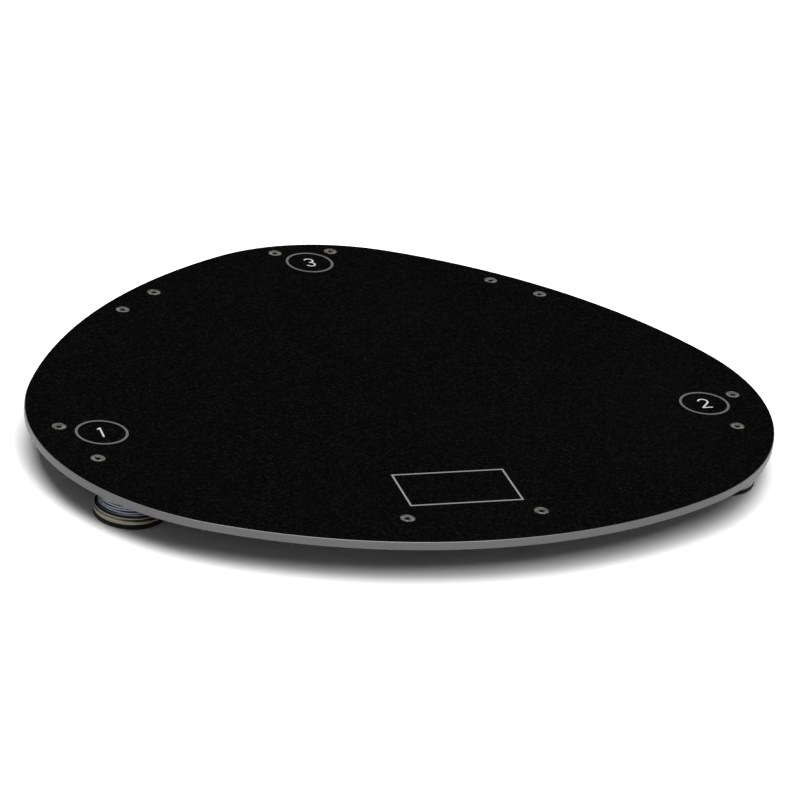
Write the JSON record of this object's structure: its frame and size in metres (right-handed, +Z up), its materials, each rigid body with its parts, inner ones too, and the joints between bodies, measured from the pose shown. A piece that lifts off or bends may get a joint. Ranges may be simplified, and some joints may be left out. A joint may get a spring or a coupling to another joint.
{
  "type": "vibration isolation platform",
  "caption": "Low rounded-triangle deck with a black grit surface on sprung round feet, for a vibration machine to stand on.",
  "frame": {"origin": "on the floor, under the centre of the deck's bounding box", "axes": "+X to the user's right, +Y to the narrow rear of the deck, +Z up"},
  "size_m": [1.07, 0.9619, 0.062],
  "materials": {
    "deck_aluminium": "satin machined edge, clear anodised",
    "grip_black": "fine mineral grit in black resin",
    "mark_grey": "screen print",
    "mark_white": "screen print",
    "label_grey": "screen print",
    "screw_steel": "stainless, turned",
    "carrier_black": "black powder coat",
    "seat_zinc": "bright zinc",
    "bolt_zinc": "bright zinc",
    "stop_urethane": "cast urethane",
    "spring_steel": "blue-white zinc",
    "cup_chrome": "bright plated steel",
    "bush_plastic": "acetal",
    "pad_rubber": "moulded rubber"
  },
  "bodies": {
    "deck": {"deck_plate": "deck_aluminium", "grip_sheet": "grip_black", "deck_screws": "screw_steel", "position_rings": "mark_grey", "ring_numerals": "mark_white", "label_frame": "label_grey", "lock_nuts": "bolt_zinc", "front_right_carrier": "carrier_black", "front_right_upper_seat": "seat_zinc", "front_right_guide_bolt": "bolt_zinc", "front_right_bump_stop": "stop_urethane", "front_right_spring": "spring_steel", "front_left_carrier": "carrier_black", "front_left_upper_seat": "seat_zinc", "front_left_guide_bolt": "bolt_zinc", "front_left_bump_stop": "stop_urethane", "front_left_spring": "spring_steel", "side_right_carrier": "carrier_black", "side_right_upper_seat": "seat_zinc", "side_right_guide_bolt": "bolt_zinc", "side_right_bump_stop": "stop_urethane", "side_right_spring": "spring_steel", "side_left_carrier": "carrier_black", "side_left_upper_seat": "seat_zinc", "side_left_guide_bolt": "bolt_zinc", "side_left_bump_stop": "stop_urethane", "side_left_spring": "spring_steel", "rear_carrier": "carrier_black", "rear_upper_seat": "seat_zinc", "rear_guide_bolt": "bolt_zinc", "rear_bump_stop": "stop_urethane", "rear_spring": "spring_steel", "front_centre_carrier": "carrier_black", "front_centre_upper_seat": "seat_zinc", "front_centre_guide_bolt": "bolt_zinc", "front_centre_bump_stop": "stop_urethane", "front_centre_spring": "spring_steel"},
    "front_right_foot": {"front_right_cup": "cup_chrome", "front_right_bush": "bush_plastic", "front_right_pad": "pad_rubber"},
    "front_left_foot": {"front_left_cup": "cup_chrome", "front_left_bush": "bush_plastic", "front_left_pad": "pad_rubber"},
    "side_right_foot": {"side_right_cup": "cup_chrome", "side_right_bush": "bush_plastic", "side_right_pad": "pad_rubber"},
    "side_left_foot": {"side_left_cup": "cup_chrome", "side_left_bush": "bush_plastic", "side_left_pad": "pad_rubber"},
    "rear_foot": {"rear_cup": "cup_chrome", "rear_bush": "bush_plastic", "rear_pad": "pad_rubber"},
    "front_centre_foot": {"front_centre_cup": "cup_chrome", "front_centre_bush": "bush_plastic", "front_centre_pad": "pad_rubber"}
  },
  "joints": [
    {"name": "front_right_travel", "type": "slide", "parent": "deck", "child": "front_right_foot", "axis": [0, 0, 1], "range_m": [0, 0.007], "stiffness_N_per_m": 65000, "springref_m": -0.003, "deforming": ["front_right_spring"]},
    {"name": "front_left_travel", "type": "slide", "parent": "deck", "child": "front_left_foot", "axis": [0, 0, 1], "range_m": [0, 0.007], "stiffness_N_per_m": 65000, "springref_m": -0.003, "deforming": ["front_left_spring"]},
    {"name": "side_right_travel", "type": "slide", "parent": "deck", "child": "side_right_foot", "axis": [0, 0, 1], "range_m": [0, 0.007], "stiffness_N_per_m": 65000, "springref_m": -0.003, "deforming": ["side_right_spring"]},
    {"name": "side_left_travel", "type": "slide", "parent": "deck", "child": "side_left_foot", "axis": [0, 0, 1], "range_m": [0, 0.007], "stiffness_N_per_m": 65000, "springref_m": -0.003, "deforming": ["side_left_spring"]},
    {"name": "rear_travel", "type": "slide", "parent": "deck", "child": "rear_foot", "axis": [0, 0, 1], "range_m": [0, 0.007], "stiffness_N_per_m": 65000, "springref_m": -0.003, "deforming": ["rear_spring"]},
    {"name": "front_centre_travel", "type": "slide", "parent": "deck", "child": "front_centre_foot", "axis": [0, 0, 1], "range_m": [0, 0.007], "stiffness_N_per_m": 65000, "springref_m": -0.003, "deforming": ["front_centre_spring"]}
  ]
}
